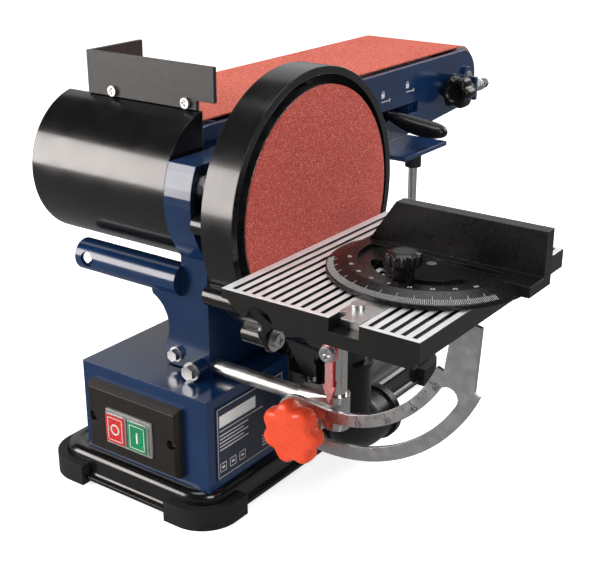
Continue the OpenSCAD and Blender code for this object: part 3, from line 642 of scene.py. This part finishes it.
def pressed_pan():
    """The base pan with the soft shoulders of pressed sheet.

    The section runs from the open underside over the flange, up the wall, round the shoulder and inwards
    past a shallow bead. Each point is (inset, height) in mm, with the inset taken off the full width.
    """
    corner_radius, corner_taper, middle_radius = 24 * MM, 0.35, 8 * MM
    shoulder, shoulder_inset, shoulder_base, innermost_bead = 5.5, 8.4, 13.5, 33
    low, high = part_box("base_pan")
    flange = [(16, 0), (0, 0), (0, 1.6), (0.6, 2.4), (5, 3.0), (7, 3.8)]
    wall = [(8, 5.6), (8.2, 10)]
    bend = []
    for k in range(7):
        angle = math.pi / 2 * k / 6
        inset = shoulder_inset + 2 * shoulder * (1 - math.cos(angle))
        bend.append((inset, shoulder_base + shoulder * math.sin(angle)))
    bead = [(26, 19), (27.5, 18.4), (30, 18.4), (31.5, 19), (60, 19)]
    rings = []
    for inset, rise in flange + wall + bend + bead:
        radius = corner_radius - inset * corner_taper * MM if inset < innermost_bead else middle_radius
        width, length = high.x - low.x - inset * MM, high.y - low.y - inset * MM
        rings.append(rounded_ring(width, length, radius, low.z + rise * MM))
    bm = bmesh.new()
    skin(bm, rings)
    pan = piece("pressed_pan", mesh_of(bm, "pressed_pan", math.radians(50)), "base", "black_paint")
    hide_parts("base_pan")


def lever_grip():
    """The belt release lever: a neck and a flattened grip that turns a little towards the belt's end.

    Each station is (reach from the pivot, half width, half height, drop) in mm.
    """
    neck_turn, grip_turn, bend_start, bend_length = -15, 6, 46, 30
    sides, squareness = 16, 0.8
    pivot = Vector(JOINTS["lever_swing"]["pos_m"])
    neck = [(0, 8, 4, 0), (7, 6, 3.6, 0), (10, 4.2, 3.4, 0), (44, 4.2, 3.6, 0)]
    grip = [(46, 5.4, 4.6, 0), (49, 6.2, 5.2, -0.4), (56, 7.6, 6.2, -2), (66, 9.0, 7.0, -4),
            (78, 9.2, 6.8, -5), (86, 8.0, 5.6, -5.2), (91, 5.4, 4.0, -5.2), (93, 1.2, 1.0, -5.2)]
    rings = []
    for reach, half_width, half_height, drop in neck + grip:
        bent = max(0.0, min(1.0, (reach - bend_start) / bend_length))
        turn = neck_turn + grip_turn * bent
        across = on_circle(Vector(), 1.0, Y, -X, turn)
        centre = on_circle(pivot, reach * MM, X, Y, turn) + Z * drop * MM
        ring = []
        for k in range(sides):
            angle = 2 * math.pi * k / sides
            c, d = math.cos(angle), math.sin(angle)
            wide = math.copysign(abs(c) ** squareness, c) * half_width * MM
            tall = math.copysign(abs(d) ** squareness, d) * half_height * MM
            ring.append(centre + across * wide + Z * tall)
        rings.append(ring)
    bm = bmesh.new()
    skin(bm, rings)
    shape = mesh_of(bm, "lever_grip", math.radians(70))
    lever = piece("lever_grip", shape, "tension_lever", "black_plastic")
    soften(lever)
    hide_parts("tension_lever")


def slabs(name, blocks, face, lift, placing):
    """Thin raised rectangles (x, y, width, height) in mm.

    face is (origin, right, up) and placing is (body, look, slot).
    """
    origin, right, up = face
    body, look, slot = placing
    normal = right.cross(up)
    bm = bmesh.new()
    for x, y, w, h in blocks:
        corners = [(x, y), (x + w, y), (x + w, y + h), (x, y + h)]
        rings = []
        for rise in (0.0, lift):
            rings.append([origin + right * a * MM + up * b * MM + normal * rise for a, b in corners])
        skin(bm, rings)
    piece(name, mesh_of(bm, name), body, slot, look)


def outline(x, y, w, h, line):
    """Four bars that frame a rectangle, for slabs()."""
    return [(x, y, w, line), (x, y + h - line, w, line), (x, y, line, h), (x + w - line, y, line, h)]


def rating_label():
    """Plain bars and frames on the rating plate, in place of print."""
    margin, thickness = 3, 0.05 * MM
    low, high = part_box("rating_plate")
    origin = Vector((high.x, low.y, low.z))
    width, height = (high.y - low.y) / MM, (high.z - low.z) / MM
    blocks = [(margin, height - 15, 38, 8.5), (margin, height - 18, 46, 0.6)]
    for row in range(5):
        blocks.append((margin, height - 21.5 - row * 2.6, 30 - 5 * (row % 2), 0.8))
    for column in range(3):
        x = margin + column * 10
        blocks += outline(x, 5, 6.5, 6.5, 0.5)
        blocks.append((x + 2, 7.5, 2.6, 1.6))
    for row in range(4):
        blocks.append((width - 24, 5 + row * 2.4, 18 - 3 * (row % 2), 0.8))
    blocks += outline(1, 1, width - 2, height - 2, 0.4)
    slabs("label_bars", blocks, (origin, Y, Z), thickness, ("base", "white_print", "label"))


def arc_path(centre, radius, right, up, start, end, steps):
    """Points from start to end degrees on a circle."""
    step = (end - start) / steps
    return [on_circle(centre, radius, right, up, start + step * k) for k in range(steps + 1)]


def button_marks():
    """White round and bar marks, a thin white frame, and a clear rim round each button."""
    edge, line, thickness = 1.6, 0.5, 0.12 * MM
    rim_x, rim_z, rim_set_back, rim_wire, rim_steps = 8.5 * MM, 10.5 * MM, 1.2 * MM, 0.8 * MM, 6
    for node, slot in (("stop_button", "red_plastic"), ("start_button", "green_plastic")):
        low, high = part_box(node)
        face = Vector(((low.x + high.x) / 2, low.y, (low.z + high.z) / 2))
        width, height = (high.x - low.x) / MM - 2 * edge, (high.z - low.z) / MM - 2 * edge
        bars = outline(-width / 2, -height / 2, width, height, line)
        if node == "start_button":
            bars.append((-0.7, -4, 1.4, 8))
        else:
            ring = arc_path(face, 3.5 * MM, X, Z, 0, 360, 28)[:-1]
            mark = swept_tube("stop_mark", ring, 0.55 * MM, 8, closed=True)
            piece("stop_mark", mark, node, slot, "white_print")
        slabs(node + "_frame", bars, (face, X, Z), thickness, (node, "white_print", slot))
        corners = []
        for side_x, side_z in ((-1, -1), (1, -1), (1, 1), (-1, 1)):
            x, z = face.x + side_x * rim_x, face.z + side_z * rim_z
            corners.append(Vector((x, low.y + rim_set_back, z)))
        rim = []
        for first, second in zip(corners, corners[1:] + corners[:1]):
            rim += [first.lerp(second, step / rim_steps) for step in range(rim_steps)]
        piece(node + "_rim", swept_tube(node + "_rim", rim, rim_wire, 8, closed=True), "base", "clear_frame")


def arm_signs():
    """Small generic lock signs and arrows on the arm, beside the lever slot."""
    face_x, thickness, bow_radius, body_height = 15.0 * MM, 0.05 * MM, 1.6 * MM, 3.8
    arrow_y, arrow_line, arrow_steps = -3.4, 0.7, 5
    pivot = Vector(JOINTS["lever_swing"]["pos_m"])
    for index, (y, z, open_turn) in enumerate(((-18, 16, 0), (20, 18, 25))):
        origin = Vector((face_x, pivot.y + y * MM, pivot.z + z * MM))
        blocks = [(-2.4, 0, 4.8, body_height), (-2, arrow_y, 14, arrow_line)]
        for k in range(arrow_steps):
            blocks.append((11.4 - 0.5 * k, arrow_y - 0.35 * k, 0.5, arrow_line * (1 + k)))
        placing = ("belt_arm", "white_print", "navy_paint")
        slabs(f"arm_sign_{index}", blocks, (origin, Y, Z), thickness, placing)
        bow = arc_path(origin + Z * body_height * MM, bow_radius, Y, Z, open_turn, 180 + open_turn, 12)
        tube = swept_tube(f"arm_bow_{index}", bow, 0.3 * MM, 6)
        piece(f"arm_bow_{index}", tube, "belt_arm", "navy_paint", "white_print")


dress_cad_nodes()
coil_spring()
table_knob()
mitre_lock_knob()
tracking_grip()
quadrant_scale()
protractor_scale()
pressed_pan()
lever_grip()
rating_label()
button_marks()
arm_signs()


# ---- stage ---------------------------------------------------------------------------------

CAMERA_PLACE = Vector((0.4924, -0.6333, 0.4236))
CAMERA_AZIMUTH = math.radians(35.9)
CAMERA_ELEVATION = math.radians(21.4)
CAMERA_LENS = 68.5
CAMERA_SENSOR = 36
CAMERA_SHIFT = (0.0038, -0.0013)


def backdrop_mesh():
    """A flat floor that curves up into a wall behind the machine."""
    size, back, rise, bend, steps = 6.0, 2.2, 3.0, 0.8, 12
    section = [Vector((0, -size, 0)), Vector((0, back, 0))]
    for k in range(1, steps + 1):
        angle = math.pi / 2 * k / steps
        section.append(Vector((0, back + bend * math.sin(angle), bend - bend * math.cos(angle))))
    section.append(Vector((0, back + bend, rise)))
    turn = Matrix.Rotation(CAMERA_AZIMUTH, 4, "Z")
    bm = bmesh.new()
    rings = [[turn @ (point + Vector((x, 0, 0))) for point in section] for x in (-size, size)]
    skin(bm, rings, closed_ring=False, cap=False)
    return mesh_of(bm, "floor")


def floor_look():
    """Pale and a little self-lit to the camera, dim and brighter upwards in reflections."""
    near_dim, far_dim = 0.26, 0.75
    glow_colour = (0.7, 0.7, 0.7, 1.0)
    s = Shader("pale_floor")
    tone = s.mix(s.clouds(0.4, 0, 1, 3), (0.90, 0.90, 0.90), (0.93, 0.93, 0.93))
    s.set(Base_Color=tone, Roughness=0.55)
    s.bump(s.noise(2 * MM, 2), 0.02 * MM, radius=0)
    add = s.tree.nodes.new
    reflected = add("ShaderNodeEmission")
    s.link(s.ramp(s.split(s.place)[2], 0.15, 1.0, near_dim, far_dim), reflected.inputs[1])
    ray = add("ShaderNodeLightPath")
    glow = add("ShaderNodeEmission")
    glow.inputs[0].default_value = glow_colour
    s.link(ray.outputs["Is Camera Ray"], glow.inputs[1])
    lit = add("ShaderNodeAddShader")
    s.link(s.bsdf.outputs[0], lit.inputs[0])
    s.link(glow.outputs[0], lit.inputs[1])
    choose = add("ShaderNodeMixShader")
    s.link(ray.outputs["Is Glossy Ray"], choose.inputs[0])
    s.link(lit.outputs[0], choose.inputs[1])
    s.link(reflected.outputs[0], choose.inputs[2])
    s.link(choose.outputs[0], s.output.inputs[0])
    return s.material


def floor():
    obj = bpy.data.objects.new("floor", backdrop_mesh())
    obj.data.materials.append(floor_look())
    bpy.context.scene.collection.objects.link(obj)


def softbox(name, place, target_height, size, power, colour=(1.0, 1.0, 1.0)):
    """A rectangular lamp of size (width, height) that faces a point above the origin."""
    data = bpy.data.lights.new(name, "AREA")
    data.shape = "RECTANGLE"
    data.size, data.size_y = size
    data.energy = power
    data.color = colour
    obj = bpy.data.objects.new(name, data)
    obj.location = place
    obj.rotation_euler = (Z * target_height - Vector(place)).to_track_quat("-Z", "Y").to_euler()
    bpy.context.scene.collection.objects.link(obj)


def world_light():
    """A dark grey world, Blender's default colour: brightest to the camera, faintest in reflections."""
    ambient, in_reflections, to_camera = 0.62, 0.16, 1.0
    world = bpy.data.worlds.new("studio")
    world.use_nodes = True
    tree = world.node_tree
    ray = tree.nodes.new("ShaderNodeLightPath")
    strength = tree.nodes.new("ShaderNodeMix")
    strength.inputs[2].default_value = ambient
    strength.inputs[3].default_value = in_reflections
    tree.links.new(ray.outputs["Is Glossy Ray"], strength.inputs[0])
    shown = tree.nodes.new("ShaderNodeMix")
    shown.inputs[3].default_value = to_camera
    tree.links.new(ray.outputs["Is Camera Ray"], shown.inputs[0])
    tree.links.new(strength.outputs[0], shown.inputs[2])
    tree.links.new(shown.outputs[0], tree.nodes["Background"].inputs[1])
    bpy.context.scene.world = world


def studio_light():
    """Large softboxes on the left, on the right, above and behind."""
    world_light()
    softbox("key", (-1.15, -1.35, 0.55), 0.2, (0.9, 1.0), 34, (1.0, 0.94, 0.90))
    softbox("fill", (1.7, -0.9, 1.1), 0.18, (0.7, 0.9), 20, (1.0, 0.97, 0.95))
    softbox("top", (-0.1, 0.1, 1.9), 0.2, (1.5, 1.1), 26)
    softbox("rim", (0.6, 1.7, 1.0), 0.2, (1.2, 0.7), 16)


def camera():
    data = bpy.data.cameras.new("camera")
    data.sensor_width = CAMERA_SENSOR
    data.lens = CAMERA_LENS
    data.shift_x, data.shift_y = CAMERA_SHIFT
    data.clip_start = 0.01
    obj = bpy.data.objects.new("camera", data)
    obj.location = CAMERA_PLACE
    obj.rotation_euler = (math.pi / 2 - CAMERA_ELEVATION, 0, CAMERA_AZIMUTH)
    bpy.context.scene.collection.objects.link(obj)
    bpy.context.scene.camera = obj


floor()
studio_light()
camera()
bpy.context.scene.view_settings.view_transform = "Standard"
